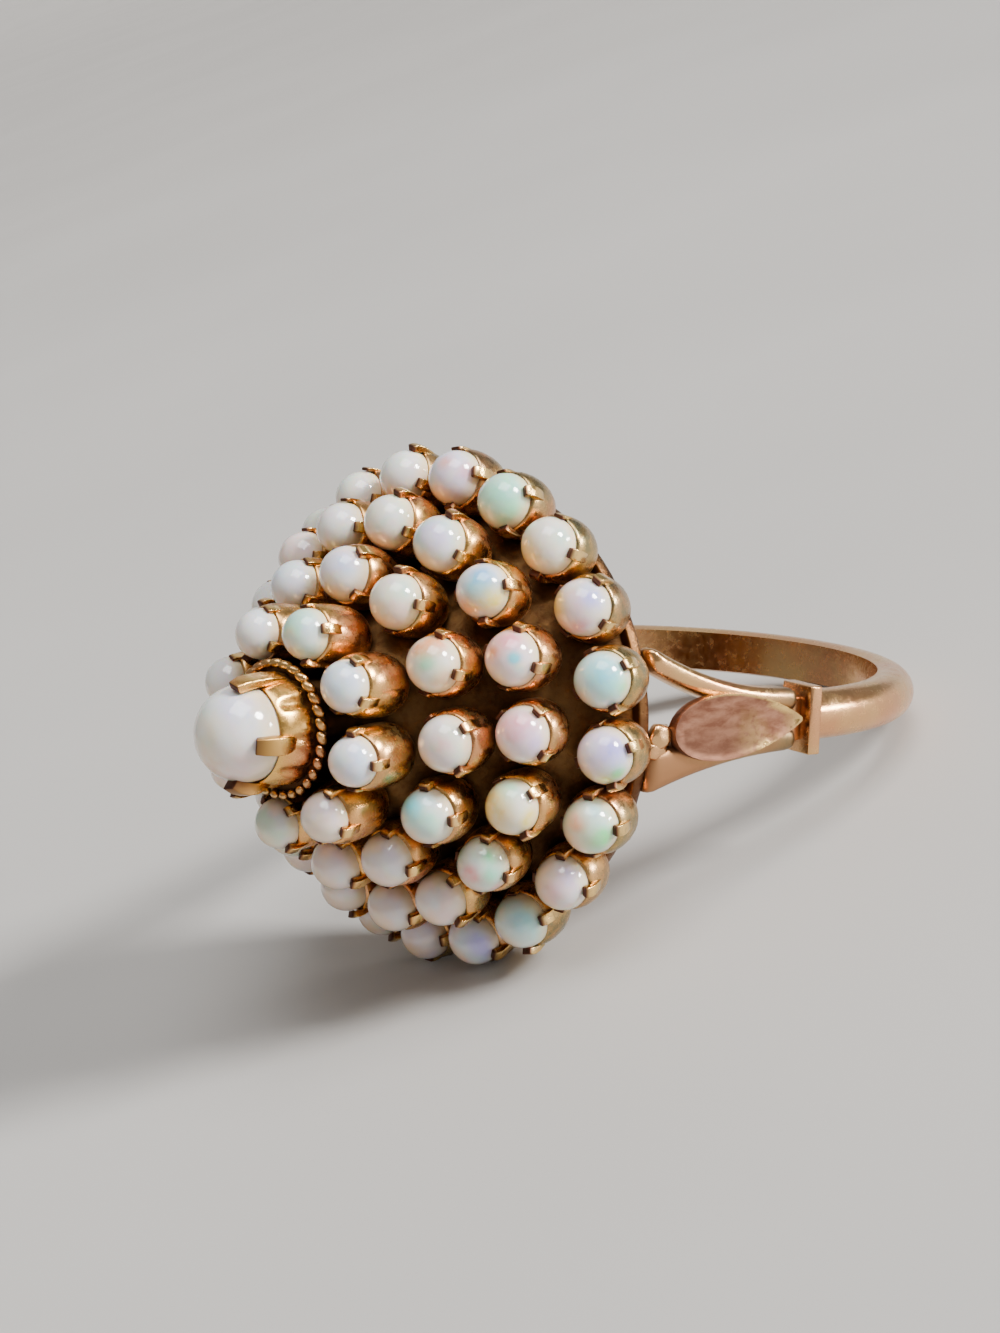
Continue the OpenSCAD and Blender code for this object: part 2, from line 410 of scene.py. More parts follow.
def gold_look(name, rosy, yellow, shade_and_grime, dull, bumps, grained=False, reach=0.9, open_at=0.62):
    """Old rose gold: rosy and yellow by turns, darkened by painted shade within reach of a hollow and where
    shade and dirt are painted on the piece, bright where wear and glints are painted, finely scratched.
    """
    look, tree, shader, place = start_look(name)
    shader.inputs["Metallic"].default_value = 1.0
    cloud = streaks(tree) if grained else noise(tree, place, 0.45, 4)
    colour = blend(tree, ramp(tree, cloud, [(0.38, grey(0)), (0.62, grey(1))]), rosy, yellow)
    film = ramp(tree, noise(tree, place, 2.4, 4, 0.6, 0.4), [(0.3, grey(0.35)), (0.6, grey(1))])
    film = blend(tree, 1.0, film, painted(tree, "tarnish").outputs["Color"], "MULTIPLY")
    colour = blend(tree, film, colour, OLIVE_FILM)
    # Bright and smooth where wear, painted glints and painted highlights are painted on the piece
    wear_and_glint_mask = ramp(tree, noise(tree, place, 4.5, 4, 0.6), [(0.36, grey(0.25)), (0.5, grey(1))])
    wear_and_glint_mask = blend(tree, 1.0, wear_and_glint_mask, painted(tree, "wear_and_glint").outputs["Color"], "MULTIPLY")
    colour = blend(tree, wear_and_glint_mask, colour, WEAR_AND_GLINT_GOLD)
    # Painted shade in the hollows, made patchy, with the shade and dirt painted on the piece added to it
    shade_and_dirt = crevice_shade(tree, reach, [(0.1, grey(1)), (open_at, grey(0))])
    spread = ramp(tree, noise(tree, place, 1.6, 3), [(0.3, grey(0.7)), (0.7, grey(1))])
    shade_and_dirt = blend(tree, 1.0, shade_and_dirt, spread, "MULTIPLY")
    shade_and_dirt = blend(tree, 1.0, shade_and_dirt, painted(tree, "shade_and_grime").outputs["Color"], "ADD")
    colour = blend(tree, shade_and_dirt, colour, shade_and_grime)
    tree.links.new(colour, shader.inputs["Base Color"])
    marks = ramp(tree, noise(tree, place, 3.2, 6, 0.65), [(0.3, grey(dull - 0.09)), (0.7, grey(dull + 0.12))])
    marks = blend(tree, wear_and_glint_mask, marks, grey(0.16))
    marks = blend(tree, shade_and_dirt, marks, grey(0.55))
    tree.links.new(marks, shader.inputs["Roughness"])
    dents = noise(tree, place, 1.7, 3)
    scratches = noise(tree, place, 22, 4, 0.7, 0.6)
    height = blend(tree, 0.18, dents, scratches)
    height = blend(tree, 0.5, height, wear_and_glint_mask)
    raise_bumps(tree, shader, height, bumps, 0.12)
    return look


# The play of colour, from one end of the rainbow round to the other
PLAY = [
    (0.0, (0.35, 0.66, 0.98)),
    (0.2, (0.34, 0.88, 0.70)),
    (0.38, (0.60, 0.93, 0.50)),
    (0.52, (0.99, 0.88, 0.42)),
    (0.66, (1.0, 0.62, 0.40)),
    (0.8, (1.0, 0.58, 0.62)),
    (1.0, (0.66, 0.60, 0.99)),
]


def opal_look(name, spot_scale):
    """White opal: a milky body in its stone's own tint, a painted honey reflection of the gold cup towards
    the girdle, and soft play of colour with a painted warm glow on the side away from the lamps.
    """
    look, tree, shader, place = start_look(name)
    cloud = ramp(tree, noise(tree, place, 0.9, 2), [(0.35, grey(0)), (0.65, grey(0.5))], True)
    body = blend(tree, cloud, painted(tree, "tint").outputs["Color"], MILKY_CLOUD)
    sway = tree.nodes.new("ShaderNodeMix")
    sway.data_type = "VECTOR"
    sway.inputs[0].default_value = 0.22
    shake = tree.nodes.new("ShaderNodeTexNoise")
    shake.inputs["Scale"].default_value = 1.6
    tree.links.new(place, shake.inputs["Vector"])
    tree.links.new(place, sway.inputs[4])
    tree.links.new(shake.outputs["Color"], sway.inputs[5])
    flakes = tree.nodes.new("ShaderNodeTexVoronoi")
    flakes.feature = "SMOOTH_F1"
    flakes.inputs["Scale"].default_value = spot_scale
    flakes.inputs["Smoothness"].default_value = 0.7
    tree.links.new(sway.outputs[1], flakes.inputs["Vector"])
    hue = tree.nodes.new("ShaderNodeSeparateColor")
    tree.links.new(flakes.outputs["Color"], hue.inputs["Color"])
    spots = ramp(tree, hue.outputs[0], PLAY)
    where = ramp(tree, noise(tree, place, 0.75, 2), [(0.42, grey(0)), (0.62, grey(1))], True)
    shown = blend(tree, 1.0, where, painted(tree, "fire").outputs["Color"], "MULTIPLY")
    body = blend(tree, shown, body, spots)
    # Play of colour, with the painted glow of each stone's shaded and lit sides
    flash_and_glow = painted(tree, "flash_and_glow")
    ragged = ramp(tree, noise(tree, place, 1.9, 3, 0.6), [(0.32, grey(0.7)), (0.6, grey(1))], True)
    strength = blend(tree, 1.0, ragged, flash_and_glow.outputs["Alpha"], "MULTIPLY")
    body = blend(tree, strength, body, flash_and_glow.outputs["Color"])
    # Painted reflection of the gold cup: honey towards the girdle
    cup_reflection = ramp(tree, painted(tree, "girdle").outputs["Fac"], [(0.4, grey(0)), (1.0, grey(0.8))], True)
    body = blend(tree, cup_reflection, body, CUP_REFLECTION_HONEY)
    tree.links.new(body, shader.inputs["Base Color"])
    polish_marks = ramp(tree, noise(tree, place, 5, 3), [(0.35, grey(0.1)), (0.7, grey(0.19))])
    tree.links.new(polish_marks, shader.inputs["Roughness"])
    shader.inputs["IOR"].default_value = 1.45
    shader.inputs["Subsurface Weight"].default_value = 0.6
    shader.inputs["Subsurface Radius"].default_value = (1.0, 0.6, 0.35)
    shader.inputs["Subsurface Scale"].default_value = 0.1 * MM
    shader.inputs["Coat Weight"].default_value = 1.0
    shader.inputs["Coat IOR"].default_value = 1.65
    shader.inputs["Coat Roughness"].default_value = 0.03
    raise_bumps(tree, shader, noise(tree, place, 3, 2), 0.04, 0.05)
    return look


# Each gold: its rosy and its yellow parts, its colour for painted shade and dirt, how dull it is, and how
# dented
CUP_GOLD = gold_look("cup_gold", (0.78, 0.35, 0.15), (0.88, 0.51, 0.14), (0.11, 0.045, 0.028),
                     dull=0.25, bumps=0.15, open_at=0.45)
# The base's gold is painted very dark: painted shade for the gaps between the cups
SHADED_BASE_GOLD = gold_look("shaded_base_gold", (0.12, 0.05, 0.022), (0.25, 0.125, 0.045), (0.035, 0.015, 0.007),
                      dull=0.28, bumps=1.0, reach=1.6, open_at=0.8)
SHANK_GOLD = gold_look("shank_gold", (0.72, 0.36, 0.17), (0.76, 0.47, 0.20), (0.12, 0.06, 0.03),
                       dull=0.21, bumps=0.15)
LEAF_GOLD = gold_look("leaf_gold", (0.25, 0.105, 0.065), (0.48, 0.24, 0.155), (0.09, 0.045, 0.03),
                      dull=0.36, bumps=0.2, grained=True)
WIRE_GOLD = gold_look("wire_gold", (0.60, 0.28, 0.13), (0.72, 0.44, 0.17), (0.05, 0.025, 0.015),
                      dull=0.26, bumps=0.25, reach=0.4)
OPAL = opal_look("opal", 0.85)
TOP_OPAL = opal_look("top_opal", 0.45)


# Opals

TINTS = {
    "milk": (0.92, 0.93, 0.90),
    "cream": (0.91, 0.88, 0.73),
    "mint": (0.60, 0.86, 0.72),
    "aqua": (0.56, 0.84, 0.82),
    "sky": (0.72, 0.82, 0.96),
    "lilac": (0.78, 0.74, 0.93),
    "rose": (0.93, 0.74, 0.75),
    "grey": (0.78, 0.74, 0.75),
}

# The body of each stone on the front of a tier, in order from the top
STONES = {
    "upper": ["milk", "milk", "mint", "sky", "sky", "rose", "grey"],
    "second": ["sky", "milk", "cream", "cream", "grey", "aqua", "grey", "rose"],
    "third": ["milk", "cream", "lilac", "sky", "rose", "rose", "cream", "mint", "grey", "grey", "rose"],
    "rim": ["milk", "milk", "lilac", "mint", "cream", "rose", "aqua", "lilac", "mint", "grey", "aqua",
            "lilac", "lilac"],
}
# How big the stones of a tier are, against the largest
SIZES = {"upper": 0.89, "second": 0.97, "third": 0.97, "rim": 0.99}

FLASHES = {
    "blue": (0.20, 0.56, 1.0),
    "yellow": (1.0, 0.80, 0.08),
    "orange": (1.0, 0.36, 0.12),
    "pink": (1.0, 0.32, 0.38),
    "mint": (0.24, 0.90, 0.58),
    "green": (0.14, 0.86, 0.22),
    "aqua": (0.14, 0.80, 0.90),
    "lilac": (0.46, 0.44, 1.0),
    "honey": (0.98, 0.70, 0.22),
    "peach": (0.98, 0.66, 0.40),
}
# Painted light on every stone, as the camera sees it: a warm glow painted at its lower left, the side away
# from the lamps, and a faint lilac painted towards its lit upper side
LIT_AND_SHADED_SIDE_TINTS = [("peach", -0.66, -0.68, 0.5, 0.6), ("lilac", 0.15, 0.3, 0.5, 0.12)]
# The strongest flashes of colour. Tier and number of the stone, then colour, place right and up of the
# stone's middle as seen by the camera, in radii, size in radii, and strength
PATCHES = {
    ("third", 3): [("blue", -0.05, 0.35, 0.4, 0.9), ("aqua", -0.35, 0.0, 0.3, 0.9),
                   ("orange", -0.55, -0.5, 0.35, 0.9), ("yellow", 0.1, -0.35, 0.4, 1.0),
                   ("yellow", 0.5, -0.25, 0.3, 0.9)],
    ("third", 4): [("pink", -0.2, 0.65, 0.35, 0.7), ("aqua", 0.0, 0.0, 0.18, 0.9),
                   ("orange", -0.7, 0.2, 0.25, 0.6)],
    ("third", 5): [("pink", -0.3, 0.3, 0.6, 0.55), ("lilac", 0.4, -0.3, 0.4, 0.4)],
    ("third", 6): [("honey", -0.8, -0.1, 0.6, 1.0), ("mint", -0.1, 0.7, 0.3, 0.5),
                   ("yellow", 0.6, -0.4, 0.3, 0.9)],
    ("third", 7): [("green", 0.15, 0.3, 0.25, 0.5), ("pink", -0.5, -0.4, 0.35, 0.7),
                   ("mint", 0.15, -0.35, 0.25, 0.7), ("pink", 0.5, -0.8, 0.25, 0.7)],
    ("second", 1): [("blue", 0.0, 0.3, 0.4, 0.3)],
    ("second", 2): [("honey", -0.6, -0.4, 0.4, 0.4), ("mint", 0.2, 0.4, 0.4, 0.3)],
    ("second", 3): [("orange", -0.05, 0.68, 0.35, 1.0), ("orange", -0.5, 0.5, 0.3, 0.9),
                    ("mint", -0.3, 0.1, 0.35, 0.7), ("peach", 0.3, -0.6, 0.4, 0.9)],
    ("second", 4): [("pink", -0.15, 0.0, 0.4, 0.35)],
    ("second", 5): [("aqua", -0.6, 0.3, 0.4, 0.6), ("mint", 0.1, -0.1, 0.3, 0.3)],
    ("rim", 2): [("pink", 0.4, 0.2, 0.3, 0.4), ("orange", -0.4, 0.5, 0.25, 0.4)],
    ("rim", 3): [("mint", 0.0, 0.2, 0.8, 0.5), ("green", 0.3, -0.4, 0.3, 0.4)],
    ("rim", 4): [("honey", -0.8, -0.3, 0.45, 0.8), ("mint", 0.4, 0.3, 0.3, 0.3)],
    ("rim", 5): [("honey", -0.9, 0.05, 0.35, 0.9), ("lilac", 0.2, 0.3, 0.4, 0.5),
                 ("pink", -0.2, -0.7, 0.35, 0.6)],
    ("rim", 6): [("aqua", 0.0, 0.2, 0.7, 0.5), ("green", 0.7, -0.25, 0.3, 0.6)],
    ("rim", 7): [("lilac", 0.25, 0.1, 0.45, 0.7), ("green", 0.4, -0.65, 0.25, 0.9),
                 ("yellow", -0.1, -0.85, 0.25, 0.8)],
    ("rim", 8): [("green", 0.3, -0.4, 0.35, 0.7), ("orange", -0.55, 0.1, 0.35, 0.5),
                 ("aqua", 0.0, 0.5, 0.3, 0.4)],
    ("rim", 9): [("pink", -0.4, -0.4, 0.35, 0.4), ("lilac", 0.2, 0.3, 0.4, 0.3)],
    ("rim", 10): [("aqua", -0.2, 0.0, 0.5, 0.4)],
    ("rim", 11): [("lilac", 0.2, -0.2, 0.5, 0.6)],
}
TOP_PATCHES = [("yellow", -0.55, -0.05, 0.3, 0.25), ("lilac", 0.1, 0.5, 0.5, 0.3),
               ("pink", 0.1, -0.7, 0.4, 0.3)]
# How far a patch spreads and how strongly it shows, for its size and strength in the lists
PATCH_SPREAD = 1.3
PATCH_STRENGTH = 1.7

# How the camera looks at the maker's position
VIEW = about("Y", VIEW_ROUND) @ about("X", -VIEW_UP) @ about("Z", VIEW_TURN)


def flash_at(patches, middle, radius):
    """The colour painted at a point of a stone: its patches fade away from their middles."""
    aims = []
    for colour, right, up, size, strength in patches:
        near = math.sqrt(max(0.0, 1 - right * right - up * up))
        aims.append((VIEW @ Vector((right, up, near)), size, strength, Vector(FLASHES[colour])))

    def colour_at(place):
        way = (place - middle) / radius
        total, colour, most = 0.0, Vector((0.0, 0.0, 0.0)), 0.0
        for aim, size, strength, own in aims:
            weight = strength * math.exp(-((way - aim).length / (PATCH_SPREAD * size)) ** 2)
            total += weight
            colour += own * weight
            most = max(most, weight)
        if total > 0:
            colour /= total
        return (*colour, min(1.0, PATCH_STRENGTH * most))

    return colour_at


def cabochon(name, radius, segments, rings):
    """A high round opal, a little flat at the back, with a faint edge where it was ground."""
    put_down()
    bpy.ops.mesh.primitive_uv_sphere_add(segments=segments, ring_count=rings, radius=radius)
    piece = new_piece(name)
    girdle = -0.45 * radius
    pick_points(piece, lambda p: p.z < girdle)
    stretch(1, 1, 0.45, (0, 0, girdle))
    pick_points(piece, lambda p: abs(p.z - girdle) < 0.1 * radius)
    stretch(0.985, 0.985, 1)
    close_up(piece)
    polish(piece, 80)
    write_per_point(piece, "girdle", lambda p: min(1, max(0, 1 - p.z / radius)))
    return piece


# Collets


def claw(name, path, width, rub_and_shine):
    """One claw: a flat bar up the cup, bent over the stone and cut off blunt, with painted shade on its end
    face.
    A rub of 1 paints its outer face bright, as wear with a painted highlight, and at 0 dirt runs back from
    its shaded end."""
    stations = [((r, 0, z), thick, width * share, tilt) for r, z, thick, share, tilt in path]
    piece = bar(name, stations)
    close_up(piece, 0.0001)
    soften(piece, 0.28 * width, 3, 40)
    polish(piece, 80)
    end_r, end_z, _, _, end_tilt = path[-1]
    run = about("Y", end_tilt) @ Vector((0, 0, 1))
    end = Vector((end_r, 0, end_z))

    # Painted shade on the end face, and dirt running back from it on a claw that is little rubbed
    def shade_and_dirt(p):
        behind = (end - p).dot(run)
        return 1.0 if behind < 0.03 else (1 - rub_and_shine) * max(0.0, 1 - behind)

    write_per_point(piece, "shade_and_grime", shade_and_dirt)
    outer_r = max(r + thick / 2 for r, _, thick, _, _ in path)
    # Bright gold along the outer face: wear with a painted highlight
    write_per_point(piece, "wear_and_glint", lambda p: rub_and_shine * min(1.0, max(0.0, 1 - (outer_r - p.x) / 0.14)))
    return piece


def claws_round(name, forms, width):
    """The claws of one cup, each turned to its place round the stone."""
    claws = []
    for number, (angle, path, rub_and_shine) in enumerate(forms):
        made = claw(f"{name}_claw_{number}", path, width, rub_and_shine)
        made.data.transform(about("Z", angle))
        claws.append(made)
    return claws


# Radius, height, thickness, share of the width, and tilt towards the stone
SMALL_CLAW = [
    (1.08, -0.85, 0.06, 0.60, 0),
    (1.15, -0.50, 0.14, 0.90, 0),
    (1.17, -0.15, 0.22, 1.00, 0),
    (1.15, 0.08, 0.26, 1.00, -8),
    (1.10, 0.23, 0.26, 0.95, -22),
    (1.03, 0.35, 0.24, 0.85, -34),
]
# A claw that was pressed down flat against its stone
FLAT_CLAW = [
    (1.08, -0.85, 0.06, 0.60, 0),
    (1.12, -0.50, 0.10, 0.90, 0),
    (1.11, -0.15, 0.12, 1.00, 0),
    (1.08, 0.06, 0.13, 1.00, -6),
    (1.04, 0.22, 0.11, 0.90, -16),
]
# The angle, the form and the rub of each claw of a cup, which sets its painted bright outer face and its
# dirt; two of them are pressed flat
RIGHT_CLAWS = ((0, SMALL_CLAW, 1), (88, SMALL_CLAW, 1), (181, FLAT_CLAW, 1), (268, FLAT_CLAW, 1))
LEFT_CLAWS = ((0, SMALL_CLAW, 1), (-91, SMALL_CLAW, 1), (178, FLAT_CLAW, 1), (87, FLAT_CLAW, 1))
# Outside of a cup, from its mouth to its bottom, as radius and height
LOW_CUP = [(1.05, -0.10), (1.10, -0.17), (1.17, -0.45), (1.18, -0.75), (1.15, -1.08), (1.08, -1.38),
           (0.96, -1.66), (0.78, -1.92), (0.54, -2.12), (0.28, -2.23), (0.08, -2.26)]
TALL_CUP = [(1.05, -0.10), (1.11, -0.17), (1.20, -0.50), (1.24, -0.92), (1.24, -1.38), (1.21, -1.80),
            (1.12, -2.15), (0.96, -2.42), (0.62, -2.62), (0.20, -2.70)]


def make_collet(name, outside, claw_forms):
    """A small cup with its claws: the outer wall first, then the mouth and the seat inside."""
    cup = ring_wall(name, outside, 28)
    bpy.ops.mesh.merge(type="CENTER")
    mouth_r, mouth_z = outside[0]
    pick_points(cup, lambda p: p.z > mouth_z - 0.01)
    wall = 0.05
    inner = (mouth_r - wall) / mouth_r
    draw_out(0, 0, 0.01)
    stretch(inner, inner, 1)
    for deeper, narrower in ((0.55, 0.88), (0.6, 0.6)):
        draw_out(0, 0, -deeper)
        stretch(narrower, narrower, 1)
    bpy.ops.mesh.merge(type="CENTER")
    close_up(cup, 0.001)
    collet = join_up(name, [cup] + claws_round(name, claw_forms, SMALL_CLAW_W))
    polish(collet)
    return collet


# The claws of the top collet: one long over the top of the stone, two stout in front, two low behind
LONG_CLAW = [
    (1.74, -1.60, 0.14, 0.75, 0),
    (1.90, -1.15, 0.26, 0.95, 0),
    (1.92, -0.50, 0.30, 1.00, 0),
    (1.88, 0.05, 0.32, 1.00, -8),
    (1.82, 0.42, 0.34, 1.00, -18),
    (1.70, 0.74, 0.32, 0.85, -32),
]
STOUT_CLAW = [
    (1.80, -0.80, 0.10, 0.60, 0),
    (1.86, -0.50, 0.24, 0.90, 0),
    (1.87, -0.20, 0.38, 1.00, 0),
    (1.85, 0.12, 0.44, 1.00, -10),
    (1.76, 0.46, 0.42, 0.95, -26),
    (1.60, 0.76, 0.38, 0.85, -42),
]
LOW_CLAW = [
    (1.80, -0.80, 0.10, 0.60, 0),
    (1.83, -0.40, 0.14, 0.90, 0),
    (1.79, -0.05, 0.16, 1.00, -4),
    (1.72, 0.22, 0.14, 0.90, -12),
]
TOP_CLAWS = ((76, LONG_CLAW, 1), (-4, STOUT_CLAW, 0.15), (-80, STOUT_CLAW, 0.15),
             (-150, LOW_CLAW, 0.15), (150, LOW_CLAW, 0.15))
# Outside of the top collet, from its mouth to its foot, as radius and height from the stone's middle
TOP_CUP = [(1.70, -0.22), (1.78, -0.34), (1.88, -0.62), (1.96, -1.05), (1.97, -1.45), (1.90, -1.80),
           (1.72, -2.12), (1.42, -2.42), (1.05, -2.7)]
FLUTES = 10


def make_top_collet():
    """The bulged and fluted cup of the top opal: pressed in at its flutes, then lined, then closed below."""
    cup = ring_wall("top_collet", TOP_CUP, 72)
    pitch = 360 / FLUTES

    def in_flute(p):
        turn = math.degrees(math.atan2(p.y, p.x)) % pitch
        return -2.5 < p.z < -0.5 and min(turn, pitch - turn) < 4

    pick_points(cup, in_flute)
    stretch(0.93, 0.93, 1)
    mouth_z, foot_z = TOP_CUP[0][1], TOP_CUP[-1][1]
    pick_points(cup, lambda p: p.z > mouth_z - 0.01)
    for rise, narrower in ((0.02, 0.985), (-0.75, 0.9), (-0.7, 0.7)):
        draw_out(0, 0, rise)
        stretch(narrower, narrower, 1)
    bpy.ops.mesh.merge(type="CENTER")
    pick_points(cup, lambda p: p.z < foot_z + 0.05)
    bpy.ops.mesh.merge(type="CENTER")
    close_up(cup, 0.001)
    smooth_down(cup)
    collet = join_up("top_collet", [cup] + claws_round("top", TOP_CLAWS, TOP_CLAW_W))
    polish(collet)
    collet.data.transform(Matrix.Translation((0, 0, TOP_AT)))
    return collet


# Base and twisted wire


# The base's section as radius and height: up the ring at its foot, the dome, the neck and the plate, then
# back down inside
BASE_OUTSIDE = [(8.0, BASE_H), (8.02, BASE_H + 0.22), (7.98, BASE_H + 0.45),
                (7.66, -1.93), (6.17, 0.45), (4.63, 2.30), (3.08, 4.84),
                (2.05, 5.35), (1.92, 6.3), (1.9, 6.95),
                (2.16, 7.03), (2.20, 7.12), (2.14, 7.22), (1.7, 7.22)]
BASE_INSIDE = [(1.45, 7.1), (1.45, 4.95),
               (2.62, 4.45), (4.18, 2.15), (5.72, 0.32), (7.2, -2.02),
               (6.74, -2.1), (6.7, BASE_H)]


def make_base():
    """The domed base, open towards the finger, with a flat ring at its foot and a plate at its top."""
    base = ring_wall("base", BASE_OUTSIDE + BASE_INSIDE, 96)
    pick_points(base, lambda p: abs(p.z - BASE_H) < 0.01)
    bpy.ops.mesh.bridge_edge_loops()
    close_up(base)
    soften(base, 0.06)
    polish(base, 40)
    dome_from, dome_to = BASE_H + 0.5, 6
    # Painted glints: patches of bright gold over the dome
    write_per_point(base, "wear_and_glint", lambda p: 0.1 if dome_from < p.z < dome_to else 0.0)
    return base


def make_rope():
    """A ring of twisted wire: one slanting turn of the strand, spun round the cup."""
    put_down()
    bpy.ops.mesh.primitive_uv_sphere_add(segments=12, ring_count=8, radius=ROPE_WIRE_R)
    piece = new_piece("rope_ring")
    stretch(0.95, 1.7, 0.95)
    swing(ROPE_SLANT, "X")
    bpy.ops.transform.translate(value=(ROPE_R, 0, ROPE_H))
    bpy.ops.mesh.spin(steps=ROPE_TURNS, dupli=True, angle=2 * math.pi, center=(0, 0, ROPE_H), axis=(0, 0, 1))
    close_up(piece, 0.0001)
    polish(piece, 80)
    return piece


# Shank


def make_hoop():
    """The hoop: a half-round section, flat to the finger, spun from collar to collar round the back."""
    put_down()
    half = HOOP_W / 2
    bpy.ops.mesh.primitive_circle_add(vertices=24, radius=half, location=(HOLE_R + HOOP_T - half, 0, 0))
    piece = new_piece("hoop")
    flat = HOLE_R + 0.1
    pick_points(piece, lambda p: p.x < flat)
    stretch(0, 1, 1, (HOLE_R, 0, 0))
    bpy.ops.mesh.select_all(action="SELECT")
    swing(COLLAR_AT - 90, "Y")
    bpy.ops.transform.translate(value=(0, 0, -RIM_RISE))
    sweep = math.radians(360 - 2 * COLLAR_AT)
    bpy.ops.mesh.spin(steps=88, angle=-sweep, center=(0, 0, -RIM_RISE), axis=(0, 1, 0))
    close_up(piece)
    polish(piece, 40)
    return piece


def make_collar(side):
    """A square raised band with soft edges, and the narrow neck in the groove beside it."""
    put_down()
    middle = HOLE_R + COLLAR_T / 2
    bpy.ops.mesh.primitive_cube_add(size=1, location=(middle, 0, 0))
    band = new_piece("band")
    stretch(COLLAR_T, COLLAR_W, COLLAR_LEN, (middle, 0, 0))
    pick_faces(band, lambda c, n: n.x > 0.9)
    bpy.ops.mesh.inset(thickness=0.1)
    bpy.ops.transform.translate(value=(0.04, 0, 0))
    close_up(band)
    soften(band, 0.05)
    put_down()
    neck_t, neck_w, neck_len = 1.05, 1.6, 0.5
    neck_at = (HOLE_R + 0.06 + neck_t / 2, 0, 0.42)
    bpy.ops.mesh.primitive_cube_add(size=1, location=neck_at)
    neck = new_piece("neck")
    stretch(neck_t, neck_w, neck_len, neck_at)
    bpy.ops.mesh.subdivide(number_cuts=1)
    close_up(neck)
    soften(neck, 0.12)
    collar = join_up(f"collar_{side}", [band, neck])
    polish(collar)
    collar.data.transform(about("Y", COLLAR_AT - 90))
    collar.data.transform(Matrix.Translation((0, 0, -RIM_RISE)))
    return collar


def shoulder_place(share):
    """Inside and outside reach and the height of a shoulder, from the hoop (0) to the dome (1)."""
    root = math.radians(SHOULDER_AT)
    in_x, in_z = HOLE_R * math.sin(root), HOLE_R * math.cos(root) - RIM_RISE
    out_x, out_z = (HOLE_R + HOOP_T) * math.sin(root), (HOLE_R + HOOP_T) * math.cos(root) - RIM_RISE
    z = out_z + (FOOT_H - out_z) * share
    inside = in_x + (ARM_REACH - ARM_T - in_x) * (z - in_z) / (FOOT_H - in_z)
    outside = out_x + (ARM_REACH - out_x) * share
    return inside, outside, z


def near_hoop(place):
    """How close a point of a shoulder is to the collar: 1 beside it, 0 from 1.5 mm away."""
    root_z = shoulder_place(0)[2]
    return min(1.0, max(0.0, 1 - (place.z - root_z) / 1.5))


def make_arm(name, spread, start, up, root_w):
    """One arm of a shoulder, spreading from the hoop to the dome, where it is as wide as root_w.
    up is 1 for the arm along one side of the leaf and -1 for the other."""
    stations = []
    for share in [k / 12 for k in range(13)]:
        inside, outside, z = shoulder_place(share)
        edge = start + (spread - start) * share ** 2
        wide = ARM_W + (root_w - ARM_W) * share ** 1.5
        stations.append((((inside + outside) / 2, up * (edge - wide / 2), z), outside - inside, wide, 0))
    arm = bar(name, stations)
    close_up(arm)
    soften(arm, 0.38, 5)
    write_per_point(arm, "tarnish", lambda p: near_hoop(p) ** 0.8)
    # Painted shade darkens all of the lower arm; the upper arm darkens with dirt towards the collar
    write_per_point(arm, "shade_and_grime", lambda p: 0.5 if up < 0 else 0.55 * near_hoop(p))
    return arm


def leaf_half(share):
    """Half the width of the leaf, from its point (0) to its round end (1)."""
    return LEAF_W / 0.81 * share ** 0.85 * math.sqrt(1 - share)


def make_leaf(name):
    """The leaf between the arms: pointed at the hoop, round at the dome, scooped inside a thin rim."""
    tip_z = FOOT_H - LEAF_GAP - LEAF_LEN
    root_z = shoulder_place(0)[2]
    run = FOOT_H - root_z
    thick, proud = 0.35, 0.075
    first, last = 0.012, 0.998
    stations = []
    for share in [first, 0.06] + [k / 14 for k in range(2, 13)] + [0.90, 0.94, 0.97, 0.99, last]:
        z = tip_z + LEAF_LEN * share
        outside = shoulder_place((z - root_z) / run)[1]
        stations.append(((outside + proud, 0.1 * (1 - share), z), thick, 2 * leaf_half(share), 0))
    leaf = bar(name, stations)
    pick_faces(leaf, lambda c, n: n.x > 0.8)
    bpy.ops.mesh.inset(thickness=0.10)
    bpy.ops.transform.translate(value=(-0.05, 0, 0))
    bpy.ops.mesh.inset(thickness=0.2)
    bpy.ops.transform.translate(value=(-0.03, 0, 0))
    close_up(leaf)
    soften(leaf, 0.035, 2, 30)
    polish(leaf, 60)
    write_per_point(leaf, "across", lambda p: p.y)
    write_per_point(leaf, "along", lambda p: p.z)

    def share_at(p):
        return min(last, max(first, (p.z - tip_z) / LEAF_LEN))

    # Painted highlight along the upper rim, and wear at the low edge and at the point
    def wear_and_glint_mask(p):
        share = share_at(p)
        low_edge = math.exp(-((p.y + 0.75) / 0.22) ** 2 - ((p.z - tip_z - 1.7) / 0.7) ** 2)
        point = math.exp(-((p.z - tip_z - 0.15) / 0.35) ** 2)
        rim = 1.0 if p.y > leaf_half(share) - 0.03 and 0.1 < share < 0.75 else 0.0
        return min(1.0, max(low_edge + 0.8 * point, rim))

    # Painted shade over the lower rim and its slope
    def shade_and_dirt(p):
        share = share_at(p)
        return 0.6 if p.y < 0.38 - leaf_half(share) and share > 0.3 else 0.0

    write_per_point(leaf, "wear_and_glint", wear_and_glint_mask)
    write_per_point(leaf, "shade_and_grime", shade_and_dirt)
    return leaf


def mirrored(piece, name):
    """The same piece for the other shoulder."""
    made = copy_of(piece, name, Matrix.Scale(-1, 4, (1, 0, 0)))
    take_up(made)
    bpy.ops.mesh.normals_make_consistent(inside=False)
    put_down()
    return made


# Solder lumps between the leaf and the dome: place and size
SOLDER = [((8.04, -0.16, -2.95), 0.46), ((7.98, -0.66, -2.80), 0.38)]


